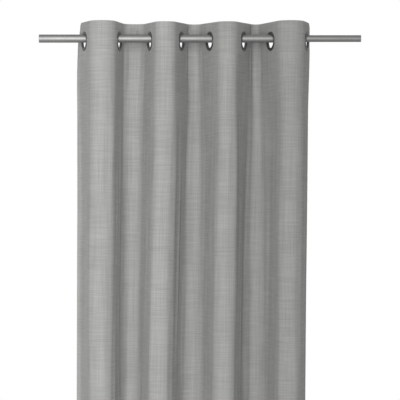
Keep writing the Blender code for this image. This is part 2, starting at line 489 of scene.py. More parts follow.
def metal_grain_group() -> bpy.types.NodeTree:
    """Fine drawn grain, soft smudges and rubbed crowns of plated or brushed metal.

    Returns:
        A group that puts out a colour, a roughness and a height.
    """
    graph, ends = new_group(
        "metal_grain",
        {"Vector": None, "Grain Scale": 400.0, "Metal": (0.5, 0.5, 0.5, 1.0),
         "Rubbed Metal": (0.7, 0.7, 0.7, 1.0), "Rub": 0.0, "Roughness": 0.3, "Smudge": 0.1},
        {"Color": "NodeSocketColor", "Roughness": "NodeSocketFloat", "Height": "NodeSocketFloat"},
    )
    smudge_scale, smudge_middle = 38.0, 0.45
    rub_start, rub_end = 0.75, 1.2
    darkest_grain, palest_grain = 0.86, 1.12
    grain_roughening = 0.12
    given = ends["in"].outputs
    grain = graph.noise(given["Vector"], given["Grain Scale"], 4.0, 0.6)
    coordinate = graph.node("ShaderNodeTexCoord")
    smudge = graph.noise(coordinate.outputs["Object"], smudge_scale, 3.0)
    # the grain breaks up the border of the rubbed metal
    border = graph.math("ADD", given["Rub"], graph.math("MULTIPLY", grain, 0.5))
    tint = graph.mix(graph.ramp(border, rub_start, rub_end), given["Metal"], given["Rubbed Metal"])
    shade = graph.ramp(grain, 0.2, 0.8, darkest_grain, palest_grain)
    smudged = graph.math("MULTIPLY", graph.math("SUBTRACT", smudge, smudge_middle), given["Smudge"])
    grained = graph.math("MULTIPLY", graph.math("SUBTRACT", grain, 0.5), grain_roughening)
    graph.feed_all(ends["out"], {
        "Color": graph.scale_vector(tint, graph.combine(shade, shade, shade)),
        "Roughness": graph.math("ADD", graph.math("ADD", given["Roughness"], smudged), grained),
        "Height": grain,
    })
    return graph.tree


class Finish:
    """Common steps of every finish."""

    def start(self, name: str) -> tuple[bpy.types.Material, Graph, bpy.types.Node]:
        """A new material with its graph and its Principled BSDF.

        Args:
            name: Name of the material.

        Returns:
            The material, its graph and its shader.
        """
        material = bpy.data.materials.new(name)
        material.use_nodes = True
        graph = Graph(material.node_tree)
        return material, graph, material.node_tree.nodes["Principled BSDF"]

    def place_group(self, graph: Graph, name: str, values: dict[str, object]) -> bpy.types.Node:
        """Place a shader node group in a material with the finish's own values.

        Args:
            graph: The material's graph.
            name: Name of the group.
            values: What its inputs are given.

        Returns:
            The group's node.
        """
        group = graph.node("ShaderNodeGroup")
        group.node_tree = bpy.data.node_groups[name]
        graph.feed_all(group, values)
        return group

    def bump(self, graph: Graph, shader: bpy.types.Node, height: bpy.types.NodeSocket,
             distance: float, strength: float) -> None:
        """Drive the shader's normal with a bump of a height.

        Args:
            graph: The material's graph.
            shader: The Principled BSDF.
            height: The height's socket.
            distance: Depth of the relief in metres.
            strength: How much of it shows.
        """
        made = graph.node("ShaderNodeBump")
        graph.feed_all(made, {"Distance": distance, "Strength": strength, "Height": height})
        graph.feed(shader.inputs["Normal"], made.outputs[0])


@dataclass(frozen=True)
class LinenFinish(Finish):
    """Linen-look cloth in a plain weave, grey melange."""

    dark_yarn: tuple[float, ...] = (0.328, 0.328, 0.318, 1.0)
    light_yarn: tuple[float, ...] = (0.540, 0.540, 0.526, 1.0)
    thread_pitch: float = 0.00065
    slub: float = 0.34
    cloud: float = 0.30
    valley_roughness: float = 0.96
    crown_roughness: float = 0.82
    relief: float = 0.00016

    def material(self, name: str) -> bpy.types.Material:
        """Build the cloth's material.

        Args:
            name: Name of the material.

        Returns:
            The finished material.
        """
        material, graph, shader = self.start(name)
        chart = graph.node("ShaderNodeUVMap", uv_map=CHART)
        weave = self.place_group(graph, "linen_weave", {
            "UV": chart.outputs[0], "Dark Yarn": self.dark_yarn, "Light Yarn": self.light_yarn,
            "Thread Pitch": self.thread_pitch, "Slub": self.slub, "Cloud": self.cloud,
        })
        height = weave.outputs["Height"]
        graph.feed_all(shader, {
            "Base Color": weave.outputs["Color"],
            "Roughness": graph.ramp(height, -0.5, 1.5, self.valley_roughness, self.crown_roughness),
            "Specular IOR Level": 0.25, "Sheen Weight": 0.12, "Sheen Roughness": 0.45,
        })
        self.bump(graph, shader, height, self.relief, 0.5)
        return material


@dataclass(frozen=True)
class MetalFinish(Finish):
    """Metal with a grain, smudges and, where an attribute says so, rubbed crowns."""

    metal: tuple[float, ...]
    rubbed: tuple[float, ...]
    roughness: float
    grain_stretch: tuple[float, float, float]
    grain_scale: float
    smudge: float = 0.1
    relief: float = 0.00002

    def material(self, name: str) -> bpy.types.Material:
        """Build the metal's material.

        Args:
            name: Name of the material.

        Returns:
            The finished material.
        """
        material, graph, shader = self.start(name)
        coordinate = graph.node("ShaderNodeTexCoord")
        rub = graph.node("ShaderNodeAttribute", attribute_name=RUB_MARK)
        grain = self.place_group(graph, "metal_grain", {
            "Vector": graph.scale_vector(coordinate.outputs["Object"], self.grain_stretch),
            "Grain Scale": self.grain_scale, "Metal": self.metal, "Rubbed Metal": self.rubbed,
            "Rub": rub.outputs["Fac"], "Roughness": self.roughness, "Smudge": self.smudge,
        })
        graph.feed_all(shader, {
            "Base Color": grain.outputs["Color"], "Roughness": grain.outputs["Roughness"],
            "Metallic": 1.0,
        })
        self.bump(graph, shader, grain.outputs["Height"], self.relief, 0.4)
        return material


@dataclass(frozen=True)
class FeltFinish(Finish):
    """Bonded non-woven: pale, matt and slightly mottled."""

    colour: tuple[float, ...] = (0.74, 0.73, 0.70, 1.0)
    shadow: tuple[float, ...] = (0.58, 0.57, 0.54, 1.0)
    fibre_scale: float = 900.0
    relief: float = 0.0001

    def material(self, name: str) -> bpy.types.Material:
        """Build the felt's material.

        Args:
            name: Name of the material.

        Returns:
            The finished material.
        """
        material, graph, shader = self.start(name)
        coordinate = graph.node("ShaderNodeTexCoord")
        fibre = graph.noise(coordinate.outputs["Object"], self.fibre_scale, 4.0, 0.7)
        mottle = graph.mix(graph.ramp(fibre, 0.3, 0.7), self.shadow, self.colour)
        graph.feed_all(shader, {"Base Color": mottle, "Roughness": 0.95})
        self.bump(graph, shader, fibre, self.relief, 0.5)
        return material


@dataclass(frozen=True)
class ThreadFinish(Finish):
    """Spun polyester sewing thread in the colour of the cloth, with shade painted into the valleys of
    its twist.
    """

    colour: tuple[float, ...] = (0.43, 0.43, 0.42, 1.0)
    # painted shade: the darker colour laid into the valleys of the twist
    painted_valley_shade: tuple[float, ...] = (0.26, 0.26, 0.25, 1.0)
    twist_scale: float = 2600.0
    relief: float = 0.00005

    def material(self, name: str) -> bpy.types.Material:
        """Build the thread's material.

        Args:
            name: Name of the material.

        Returns:
            The finished material.
        """
        material, graph, shader = self.start(name)
        coordinate = graph.node("ShaderNodeTexCoord")
        twist = graph.noise(coordinate.outputs["Object"], self.twist_scale, 2.0)
        # painted shade: the colour darkens where the twist relief sinks, read from the same noise that
        # drives the bump
        spun_with_painted_shade = graph.mix(graph.ramp(twist, 0.35, 0.65), self.painted_valley_shade, self.colour)
        graph.feed_all(shader, {"Base Color": spun_with_painted_shade, "Roughness": 0.62, "Sheen Weight": 0.2})
        self.bump(graph, shader, twist, self.relief, 0.6)
        return material


# ------------------------------------------------------------------ the wave


@dataclass
class CurtainCut:
    """How the cloth is cut, turned and stiffened."""

    top: float
    foot: float
    crossing_angles: tuple[float, ...] = (70.0, 77.0, 73.0, 73.0, 67.0, 70.0, 67.0, 76.0)
    flat_width: float = 1.400
    # the cloth lies flat this far to each side of an eyelet's centre
    seat_half: float = 0.030
    side_return: float = 0.060
    heading_turn: float = 0.150
    foot_turn: float = 0.100
    # from this far below the top, the stiff heading no longer shapes the cloth
    free_fall: float = 0.62
    cloth: float = 0.0007
    felt: float = 0.0004
    stiffener_below_top: float = 0.003
    stiffener_above_hem: float = 0.006
    # how far each leaf lies in front of the middle of the heading
    face_offset: float = 0.0009
    foot_leaf_offset: float = -0.0007
    side_leaf_offset: float = -0.0002
    side_turn: float = 0.025
    hole_radius: float = 0.0225

    @property
    def hem_line(self) -> float:
        """Height of the heading's turned edge."""
        return self.top - self.heading_turn

    @property
    def foot_line(self) -> float:
        """Height of the foot hem's turned edge."""
        return self.foot + self.foot_turn

    @property
    def surface(self) -> float:
        """How far the cloth's face lies in front of the heading's middle."""
        return self.face_offset + self.cloth / 2

    @property
    def stiffener_height(self) -> float:
        """Height of the stiffener inside the heading."""
        return self.heading_turn - self.stiffener_above_hem - self.stiffener_below_top

    @property
    def drop(self) -> float:
        """Finished height of the curtain."""
        return self.top - self.foot

    @property
    def cut_length(self) -> float:
        """Length of the cloth before the heading and the foot are turned."""
        return self.drop + self.heading_turn + self.foot_turn


@dataclass(frozen=True)
class Ripple:
    """A faint wave in the cloth, that swells and fades along it and down it."""

    depth: float
    run_rate: float
    fall_rate: float
    phase: float
    beat_fall: float
    beat_run: float
    beat_phase: float = 0.0

    def at(self, run: np.ndarray, fall: np.ndarray) -> np.ndarray:
        """Height of the ripple at a place along the cloth and below its top."""
        wave = np.sin(run * self.run_rate + self.fall_rate * fall + self.phase)
        return self.depth * wave * np.sin(self.beat_fall * fall + run * self.beat_run + self.beat_phase)


SWELLS = (
    Ripple(0.0011, 96.0, 1.6, 0.5, 1.9, 7.0),
    Ripple(0.0008, 151.0, -2.4, 2.0, 3.1, 13.0, 1.0),
    Ripple(0.0005, 233.0, 3.3, 4.0, 5.3, -19.0),
)
CRUMPLES = (
    Ripple(0.00010, 431.0, 40.0, 0.0, 167.0, 61.0),
    Ripple(0.00008, 613.0, -73.0, 1.0, 263.0, -97.0),
)


def run_up(rates: np.ndarray, step: float) -> np.ndarray:
    """Running sum of rates over equal steps, from 0, row by row."""
    start = np.zeros((len(rates), 1))
    return np.concatenate([start, np.cumsum(rates, axis=1) * step], axis=1)


@dataclass
class Wave:
    """The S-wave in which the cloth crosses the rod, at every height.

    The plan of the wave is worked out on a table of heights and distances along the
    cloth, and read from it between its points.
    """

    cut: CurtainCut
    eyelets: list[Vector]
    # spacing of the table's columns and rows
    station: float = 0.001
    level: float = 0.012
    # how steeply the free cloth crosses the line under each eyelet, in radians
    soft_angles: tuple[float, ...] = (1.34, 1.34, 1.34, 1.34, 1.34, 1.37, 1.35, 1.38)
    softness: float = 0.70
    # how far below the top the drift and the swells are fully there
    plumb_fall: float = 1.25
    swell_fall: float = 0.42
    # how far the cloth drifts sideways and to the room, and how unevenly
    left_lean: float = -0.0015
    more_lean: float = -0.0085
    uneven_lean: float = 0.0022
    uneven_depth: float = 0.0045
    uneven_angle: float = 0.07
    # the eyelets hold the cloth flat inside this radius
    flat_radius: float = 0.029
    crease_depth: float = 0.0075
    crease_width: float = 0.0075
    crease_slope: float = 0.25
    crease_fall: float = 0.03
    corner_droop: float = 0.015
    middle_droop: float = 0.0036
    # how far the free edges curl, at some distances below the top
    left_falls: tuple[float, ...] = (0.0, 0.023, 0.076, 0.146, 0.30, 0.60, 2.4)
    left_curls: tuple[float, ...] = (-0.66, -0.22, 0.26, 0.50, 0.54, 0.80, 0.98)
    right_falls: tuple[float, ...] = (0.0, 0.06, 0.25, 1.1, 2.4)
    right_curls: tuple[float, ...] = (-0.24, -0.34, -0.42, -0.46, -0.46)
    # which folds are creased, and how far from their left eyelet
    crease_insets: dict[int, float] = field(default_factory=lambda: {1: 0.092, 3: 0.078, 5: 0.076})
    # how far the cloth under each eyelet sways at the second and third of these falls
    sway_falls: tuple[float, float, float] = (0.06, 0.25, 1.0)
    sways: tuple[tuple[float, float], ...] = (
        (0.0020, 0.0000), (-0.0018, -0.0050), (-0.0050, -0.0135), (0.0000, -0.0130),
        (0.0030, -0.0005), (-0.0045, -0.0052), (0.0085, 0.0100), (-0.0030, -0.0015),
    )
    plan_x: np.ndarray = field(default=None, repr=False)
    plan_y: np.ndarray = field(default=None, repr=False)
    normal_x: np.ndarray = field(default=None, repr=False)
    normal_y: np.ndarray = field(default=None, repr=False)

    def __post_init__(self) -> None:
        """Work out the flat pitch and the plan table."""
        places = [eyelet.x for eyelet in self.eyelets]
        self.pitches = np.diff(places)
        self.angles = np.radians(self.cut.crossing_angles)
        self.width = self.cut.flat_width
        self.flat_pitch = (self.width - 2 * self.cut.side_return) / len(self.pitches)
        levels = int(math.ceil(self.cut.drop / self.level)) + 1
        self.heights = np.linspace(self.cut.foot, self.cut.top, levels)
        self.stations = np.linspace(0.0, self.width, int(round(self.width / self.station)) + 1)
        self._fill_table()

    # -- how the hang changes with height

    def below_top(self, height: np.ndarray) -> np.ndarray:
        """Distance below the curtain's top edge."""
        return self.cut.top - height

    def slackness(self, height: np.ndarray) -> np.ndarray:
        """0 in the stiff heading, rising to the softness of the free cloth."""
        fall = self.below_top(height)
        return self.softness * smoothstep(fall, self.cut.heading_turn - 0.01, self.cut.free_fall)

    def eyelet_line(self, number: int, height: np.ndarray) -> tuple[np.ndarray, np.ndarray]:
        """Where the cloth below (or above) an eyelet hangs, at each height.

        Args:
            number: Number of the eyelet from the left.
            height: Height above the rod's axis.

        Returns:
            x and y at each height.
        """
        fall = smoothstep(self.below_top(height), self.cut.heading_turn, self.plumb_fall)
        share = number / (len(self.eyelets) - 1)
        lean = self.left_lean + self.more_lean * share
        lean += self.uneven_lean * math.sin(2.1 * number + 0.6)
        sway = np.interp(self.below_top(height), self.sway_falls, (0.0, *self.sways[number]))
        depth = self.uneven_depth * math.sin(1.7 * number + 1.9)
        spot = self.eyelets[number]
        return spot.x + lean * fall + sway, spot.y + depth * fall

    # -- plan of one fold

    def heading_profile(self, fold: int, run: np.ndarray) -> np.ndarray:
        """Angle to the rod along one fold of the stiff heading.

        The cloth runs flat from each eyelet at that eyelet's angle, and one round bend
        joins both flats.

        Args:
            fold: Number of the fold from the left.
            run: Distance along the cloth from the fold's left eyelet.

        Returns:
            The angle in radians at each distance.
        """
        left, right = self.angles[fold], self.angles[fold + 1]
        turn, sines = left + right, math.sin(left) + math.sin(right)
        lean = math.cos(left) - math.cos(right)
        gain = (lean * lean - turn * math.sin(turn)) / sines + sines
        bend = (self.pitches[fold] - self.flat_pitch * math.sin(turn) / sines) / gain
        flat = (math.sin(right) * (self.flat_pitch - bend * turn) + bend * lean) / sines
        return np.clip(left - (run - flat) / bend, -right, left)

    def fold_plan(self, fold: int, heights: np.ndarray, steps: int) -> tuple[np.ndarray, ...]:
        """Plan of one fold from eyelet to eyelet.

        Args:
            fold: Number of the fold from the left.
            heights: Heights to work at.
            steps: Number of equal steps along the cloth.

        Returns:
            x, y and the angle to the rod, each with a row for every height.
        """
        side = FoldSide.of(fold).value
        share = np.linspace(0.0, 1.0, steps + 1)[None, :]
        slack = self.slackness(heights)[:, None]
        stiff = (1 - slack) * self.heading_profile(fold, share * self.flat_pitch)
        soft_left, soft_right = self.soft_angles[fold], self.soft_angles[fold + 1]
        wave = np.cos(math.pi * share)
        soft = soft_left + (soft_right - soft_left) * (1 - wave) / 2
        fall = self.below_top(heights)[:, None]
        lopsided = self.uneven_angle * np.sin(2.3 * fold + 1.1 + 1.3 * fall)
        stiff = stiff + lopsided * slack * np.sin(math.pi * share) ** 2
        start_x, start_y = self.eyelet_line(fold, heights)
        end_x, end_y = self.eyelet_line(fold + 1, heights)
        wanted = (end_x - start_x)[:, None]
        step = self.flat_pitch / steps

        def angles(sharpness: np.ndarray) -> np.ndarray:
            """Angle to the rod along the fold, with its soft bend more or less sharp."""
            return stiff + slack * soft * ((1 - sharpness) * wave + sharpness * wave**3)

        def travel(values: np.ndarray) -> np.ndarray:
            """Way covered along the fold at a rate given at its points."""
            return run_up((values[:, 1:] + values[:, :-1]) / 2, step)

        # halve the range of sharpness until the fold spans from eyelet to eyelet
        low, high = np.full_like(wanted, -1.3), np.full_like(wanted, 1.6)
        for _ in range(26):
            middle = (low + high) / 2
            spans = travel(np.cos(angles(middle)))[:, -1:]
            low, high = np.where(spans < wanted, middle, low), np.where(spans < wanted, high, middle)
        theta = angles((low + high) / 2)
        along, away = travel(np.cos(theta)), travel(np.sin(theta))
        along *= wanted / along[:, -1:]
        away -= share * away[:, -1:]
        x = start_x[:, None] + along
        y = start_y[:, None] + share * (end_y - start_y)[:, None] + side * away
        return x, y, side * theta

    def return_plan(self, edge: Edge, heights: np.ndarray, steps: int) -> tuple[np.ndarray, ...]:
        """Plan of the free end of the cloth beyond the first or last eyelet, eyelet first.

        Args:
            edge: Which upright edge of the curtain.
            heights: Heights to work at.
            steps: Number of equal steps along the cloth.

        Returns:
            x, y and the angle to the rod, each with a row for every height.
        """
        at_left = edge is Edge.LEFT
        number = 0 if at_left else len(self.eyelets) - 1
        fall = self.below_top(heights)[:, None]
        slack = self.slackness(heights)[:, None]
        reach = (1 - slack) * self.angles[number] + slack * self.soft_angles[number]
        length = np.linspace(0.0, self.cut.side_return, steps + 1)[None, :]
        free_end = self.cut.side_return - self.cut.seat_half
        turned = np.clip(length - self.cut.seat_half, 0.0, None) / free_end
        falls = self.left_falls if at_left else self.right_falls
        curls = self.left_curls if at_left else self.right_curls
        theta = reach - np.interp(fall, falls, curls) * turned**1.4
        step = self.cut.side_return / steps
        middle = (theta[:, 1:] + theta[:, :-1]) / 2
        along, away = run_up(np.cos(middle), step), run_up(np.sin(middle), step)
        spot_x, spot_y = self.eyelet_line(number, heights)
        sign = -1 if at_left else 1
        side = FoldSide.TO_WALL.value
        return spot_x[:, None] + sign * along, spot_y[:, None] + side * away, sign * side * theta

    def _fill_table(self) -> None:
        """Work out the plan at every level and station of the table."""
        fold_steps, return_steps = 240, 60
        beyond = np.linspace(0, self.cut.side_return, return_steps + 1)
        parts = []
        x, y, angle = self.return_plan(Edge.LEFT, self.heights, return_steps)
        run = self.cut.side_return - beyond
        parts.append((run[::-1], x[:, ::-1], y[:, ::-1], angle[:, ::-1]))
        for fold in range(len(self.pitches)):
            x, y, angle = self.fold_plan(fold, self.heights, fold_steps)
            start = self.eyelet_station(fold)
            run = np.linspace(start, start + self.flat_pitch, fold_steps + 1)
            parts.append((run[1:], x[:, 1:], y[:, 1:], angle[:, 1:]))
        x, y, angle = self.return_plan(Edge.RIGHT, self.heights, return_steps)
        run = self.eyelet_station(len(self.pitches)) + beyond
        parts.append((run[1:], x[:, 1:], y[:, 1:], angle[:, 1:]))
        runs = np.concatenate([part[0] for part in parts])
        columns = [np.concatenate([part[n] for part in parts], axis=1) for n in (1, 2, 3)]

        def read(rows: np.ndarray) -> np.ndarray:
            """Each row at the table's stations."""
            return np.array([np.interp(self.stations, runs, row) for row in rows])

        self.plan_x, self.plan_y = read(columns[0]), read(columns[1])
        heading = read(columns[2])
        self.normal_x, self.normal_y = np.sin(heading), -np.cos(heading)

    def eyelet_station(self, number: int) -> float:
        """Distance along the cloth from its left edge to an eyelet's centre."""
        return self.cut.side_return + number * self.flat_pitch

    # -- surface

    def wrinkle(self, run: np.ndarray, height: np.ndarray) -> np.ndarray:
        """How far the cloth stands off its smooth wave, along its face normal.

        Args:
            run: Distance along the cloth from its left edge.
            height: Height above the rod's axis.

        Returns:
            The stand-off in metres.
        """
        fall = self.below_top(height)
        free = smoothstep(fall, self.cut.heading_turn - 0.005, self.swell_fall)
        swell = sum(ripple.at(run, fall) for ripple in SWELLS)
        crumple = sum(ripple.at(run, fall) for ripple in CRUMPLES)
        raised = self.near_ring(run, height)
        sewn = (self.buckle(run, fall) + crumple) * raised + self.crease(run, fall)
        # the hem's row of stitches draws the cloth in a little
        hem_fall, drawn_in, drawn_width = self.cut.heading_turn - 0.004, 0.00022, 0.0022
        drawn = -drawn_in * np.exp(-((fall - hem_fall) / drawn_width) ** 2)
        return (swell * free + sewn + drawn) * raised

    def buckle(self, run: np.ndarray, fall: np.ndarray) -> np.ndarray:
        """Soft upright buckles under the rod, mostly in the backs of the waves.

        Args:
            run: Distance along the cloth from its left edge.
            fall: Distance below the top edge.

        Returns:
            The stand-off in metres.
        """
        phase = (run - self.cut.side_return) / self.flat_pitch
        number = np.floor(phase)
        inside = np.sin(math.pi * np.clip(phase - number, 0, 1)) ** 2
        backward = np.where(np.mod(number, 2) == 1, 1.0, 0.18)
        zone = smoothstep(fall, 0.050, 0.085) * (1 - smoothstep(fall, 0.120, 0.235))
        wide_pitch, wide_depth, fine_pitch, fine_depth = 0.031, 0.0012, 0.019, 0.0006
        buckle = wide_depth * np.sin(run * 2 * math.pi / wide_pitch + 1.9 * number + 5.0 * fall)
        buckle += fine_depth * np.sin(run * 2 * math.pi / fine_pitch + 0.7 * number)
        return buckle * inside * backward * zone

    def crease(self, run: np.ndarray, fall: np.ndarray) -> np.ndarray:
        """Upright creases in the stiff heading, one at the back of each wave.

        Args:
            run: Distance along the cloth from its left edge.
            fall: Distance below the top edge.

        Returns:
            The stand-off in metres.
        """
        dents = np.zeros(np.broadcast(run, fall).shape)
        zone = smoothstep(fall, 0.004, 0.018) * (1 - smoothstep(fall, 0.034, 0.050))
        for fold, inset in self.crease_insets.items():
            middle = self.eyelet_station(fold) + inset + self.crease_slope * (fall - self.crease_fall)
            dents += np.exp(-((run - middle) / self.crease_width) ** 2)
        return -self.crease_depth * dents * zone

    def droop(self, run: np.ndarray, height: np.ndarray) -> np.ndarray:
        """How far the heading's free corners, and its middle between them, hang down.

        Args:
            run: Distance along the cloth from its left edge.
            height: Height above the rod's axis.

        Returns:
            How far down the cloth is set.
        """
        inset = np.minimum(run, self.width - run)
        corner = 1 - smoothstep(inset, 0.0, 0.031)
        front = 0.62 + 0.38 * np.sin(math.pi * (run - self.cut.side_return) / self.flat_pitch)
        middle = smoothstep(inset, 0.18, 0.44) * front * self.near_ring(run, height)
        fall = self.below_top(height)
        corner_reach, middle_reach = 0.05, 0.035
        at_corner = self.corner_droop * corner * np.exp(-fall / corner_reach)
        return at_corner + self.middle_droop * middle * np.exp(-fall / middle_reach)

    def near_ring(self, run: np.ndarray, height: np.ndarray) -> np.ndarray:
        """0 where an eyelet holds the cloth flat and 1 away from it.

        Args:
            run: Distance along the cloth from its left edge.
            height: Height above the rod's axis.

        Returns:
            A share from 0 to 1.
        """
        away = np.full(np.broadcast(run, height).shape, 1.0)
        for number, spot in enumerate(self.eyelets):
            distance = np.hypot(run - self.eyelet_station(number), height - spot.z)
            away = np.minimum(away, smoothstep(distance, self.flat_radius, self.flat_radius + 0.018))
        return away

    def place(self, run: np.ndarray, height: np.ndarray, offset: np.ndarray) -> np.ndarray:
        """Points of the hung cloth.

        Args:
            run: Distance along the cloth from its left edge.
            height: Height above the rod's axis.
            offset: Distance in front of the heading's middle surface.

        Returns:
            Rows (x, y, z).
        """
        run, height = np.broadcast_arrays(run, height)
        column = np.clip(run / self.width * (len(self.stations) - 1), 0, len(self.stations) - 1.000001)
        level = (height - self.cut.foot) / self.cut.drop * (len(self.heights) - 1)
        level = np.clip(level, 0, len(self.heights) - 1.000001)
        left, low = column.astype(int), level.astype(int)
        right_part, high_part = column - left, level - low

        def read(table: np.ndarray) -> np.ndarray:
            """The table's value between its four nearest points.

            Args:
                table: One value for every level and station.

            Returns:
                One value for every point asked for.
            """
            near = table[low, left] * (1 - right_part) + table[low, left + 1] * right_part
            far = table[low + 1, left] * (1 - right_part) + table[low + 1, left + 1] * right_part
            return near * (1 - high_part) + far * high_part

        stand_off = offset + self.wrinkle(run, height)
        x = read(self.plan_x) + read(self.normal_x) * stand_off
        y = read(self.plan_y) + read(self.normal_y) * stand_off
        return np.stack([x, y, height - self.droop(run, height)], axis=-1)


# ------------------------------------------------------------------ cloth


@dataclass
class Profile:
    """Rows of the cloth from its turned foot, up the face and over to the heading's back."""

    length: np.ndarray
    height: np.ndarray
    offset: np.ndarray


@dataclass
class CurtainCloth:
    """The cloth itself, cut flat, hung in its wave and hemmed."""

    cut: CurtainCut
    wave: Wave
    column: float = 0.004
    heading_row: float = 0.004
    sewn_row: float = 0.0016
    sewn_band: float = 0.012
    stiffener_inset: float = 0.004
    stiffener_rows: int = 37

    def profile(self) -> Profile:
        """The rows of the cloth, close together where it bends or is sewn.

        Returns:
            Length, height and stand-off of every row.
        """
        cut = self.cut
        top_radius = cut.face_offset
        foot_radius = (cut.face_offset - cut.foot_leaf_offset) / 2
        top_centre = cut.top - cut.cloth / 2 - top_radius
        foot_centre = cut.foot + cut.cloth / 2 + foot_radius
        hem_line, foot_line = cut.hem_line, cut.foot_line

        def levels(start: float, end: float, step: float) -> np.ndarray:
            """Heights from start up to, but not on, end."""
            count = max(1, int(round(abs(end - start) / step)))
            return np.linspace(start, end, count + 1)[:-1]

        heights = [levels(foot_line, foot_centre, 0.010)]
        offsets = [np.full(len(heights[0]), cut.foot_leaf_offset)]
        turn = np.linspace(0, math.pi, 7)[:-1]
        middle = (cut.face_offset + cut.foot_leaf_offset) / 2
        heights.append(foot_centre - foot_radius * np.sin(turn))
        offsets.append(middle - foot_radius * np.cos(turn))
        face = [
            levels(foot_centre, foot_line - 0.008, 0.010),
            levels(foot_line - 0.008, foot_line + 0.004, 0.002),
            levels(foot_line + 0.004, cut.top - cut.free_fall, 0.013),
            levels(cut.top - cut.free_fall, hem_line - 0.010, 0.008),
            levels(hem_line - 0.010, hem_line + self.sewn_band, self.sewn_row),
            levels(hem_line + self.sewn_band, top_centre, self.heading_row),
        ]
        heights += face
        offsets += [np.full(len(part), cut.face_offset) for part in face]
        turn = np.linspace(0, math.pi, 9)[:-1]
        heights.append(top_centre + top_radius * np.sin(turn))
        offsets.append(top_radius * np.cos(turn))
        back = levels(top_centre, hem_line + self.sewn_band, self.heading_row)
        low_back = np.append(levels(hem_line + self.sewn_band, hem_line, self.sewn_row), hem_line)
        heights += [back, low_back]
        offsets += [np.full(len(back), -cut.face_offset), np.full(len(low_back), -cut.face_offset)]
        height, offset = np.concatenate(heights), np.concatenate(offsets)
        steps = np.hypot(np.diff(height), np.diff(offset))
        return Profile(np.concatenate([[0.0], np.cumsum(steps)]), height, offset)

    def runs(self, fold: int) -> np.ndarray:
        """Distances along the cloth of one fold's columns, returns included.

        Args:
            fold: Number of the fold from the left.

        Returns:
            Distances along the cloth from its left edge.
        """
        start, end = self.wave.eyelet_station(fold), self.wave.eyelet_station(fold + 1)
        runs = [np.linspace(start, end, int(round((end - start) / self.column)) + 1)]
        beyond = int(round(self.cut.side_return / self.column)) + 1
        if fold == 0:
            runs.insert(0, np.linspace(0.0, start, beyond)[:-1])
        if fold == EYELET_COUNT - 2:
            runs.append(np.linspace(end, self.wave.width, beyond)[1:])
        return np.concatenate(runs)

    def flat_grid(self, name: str, columns: int,
                  rows: int) -> tuple[bpy.types.Object, np.ndarray, np.ndarray]:
        """A grid of cloth with the column and row number of each vertex.

        Args:
            name: Name of the piece.
            columns: Columns of vertices.
            rows: Rows of vertices.

        Returns:
            The piece, and each vertex's column and row.
        """
        select_none()
        bpy.ops.mesh.primitive_grid_add(x_subdivisions=columns - 1, y_subdivisions=rows - 1, size=1.0)
        piece = bpy.context.object
        piece.name = name
        points = coordinates(piece)
        column = np.rint((points[:, 0] + 0.5) * (columns - 1)).astype(int)
        row = np.rint((points[:, 1] + 0.5) * (rows - 1)).astype(int)
        return piece, column, row

    def chart(self, piece: bpy.types.Object, run: np.ndarray, length: np.ndarray) -> None:
        """Write the cloth's flat coordinates in metres to its UV map.

        Args:
            piece: The mesh object.
            run: Each vertex's distance along the cloth.
            length: Its distance up the flat cloth.
        """
        mesh = piece.data
        corners = np.empty(len(mesh.loops), np.int32)
        mesh.loops.foreach_get("vertex_index", corners)
        layer = mesh.uv_layers.active or mesh.uv_layers.new(name=CHART)
        layer.name = CHART
        layer.data.foreach_set("uv", np.stack([run[corners], length[corners]], axis=1).ravel())

    def punch(self, run: np.ndarray, height: np.ndarray,
              on_hem: np.ndarray) -> tuple[np.ndarray, np.ndarray]:
        """Pull the vertices beside each eyelet hole on to its rim.

        Args:
            run: Distance along the cloth from its left edge.
            height: Height above the rod's axis.
            on_hem: Whether a vertex may be moved.

        Returns:
            The new distances and heights.
        """
        radius, near = self.cut.hole_radius, self.column * 0.55
        for number, spot in enumerate(self.wave.eyelets):
            across, up = run - self.wave.eyelet_station(number), height - spot.z
            distance = np.hypot(across, up)
            beside = (np.abs(distance - radius) < near) & on_hem
            grow = np.where(beside, radius / np.maximum(distance, 1e-6), 1.0)
            run = np.where(beside, run + across * (grow - 1), run)
            height = np.where(beside, height + up * (grow - 1), height)
        return run, height

    def hole_faces(self, piece: bpy.types.Object, run: np.ndarray, height: np.ndarray) -> np.ndarray:
        """Which faces lie inside an eyelet hole.

        Args:
            piece: The mesh object.
            run: Distance along the cloth from its left edge.
            height: Height above the rod's axis.

        Returns:
            One flag for every face.
        """
        mesh = piece.data
        corners = np.empty(len(mesh.polygons) * 4, np.int32)
        mesh.polygons.foreach_get("vertices", corners)
        corners = corners.reshape(-1, 4)
        middle_run, middle_height = run[corners].mean(axis=1), height[corners].mean(axis=1)
        doomed = np.zeros(len(corners), bool)
        for number, spot in enumerate(self.wave.eyelets):
            across = middle_run - self.wave.eyelet_station(number)
            doomed |= np.hypot(across, middle_height - spot.z) < self.cut.hole_radius
        return doomed

    def hang(self, fold: int, material: bpy.types.Material) -> bpy.types.Object:
        """Cut, hang and turn the cloth of one fold, from eyelet to eyelet.

        Args:
            fold: Number of the fold from the left.
            material: The material to dress it with.

        Returns:
            The cloth of the fold.
        """
        profile, runs = self.profile(), self.runs(fold)
        piece, column, row = self.flat_grid(f"curtain_fold_{fold + 1}", len(runs), len(profile.length))
        run, height = runs[column], profile.height[row]
        offset, length = profile.offset[row], profile.length[row]
        run, height = self.punch(run, height, height > self.cut.hem_line)
        self.chart(piece, run, length)
        doomed = self.hole_faces(piece, run, height)
        set_coordinates(piece, self.wave.place(run, height, offset))
        delete_faces(piece, doomed)
        apply_modifier(piece, "SOLIDIFY", thickness=self.cut.cloth, offset=0.0, use_even_offset=True)
        smooth(piece)
        dress(piece, material)
        return piece

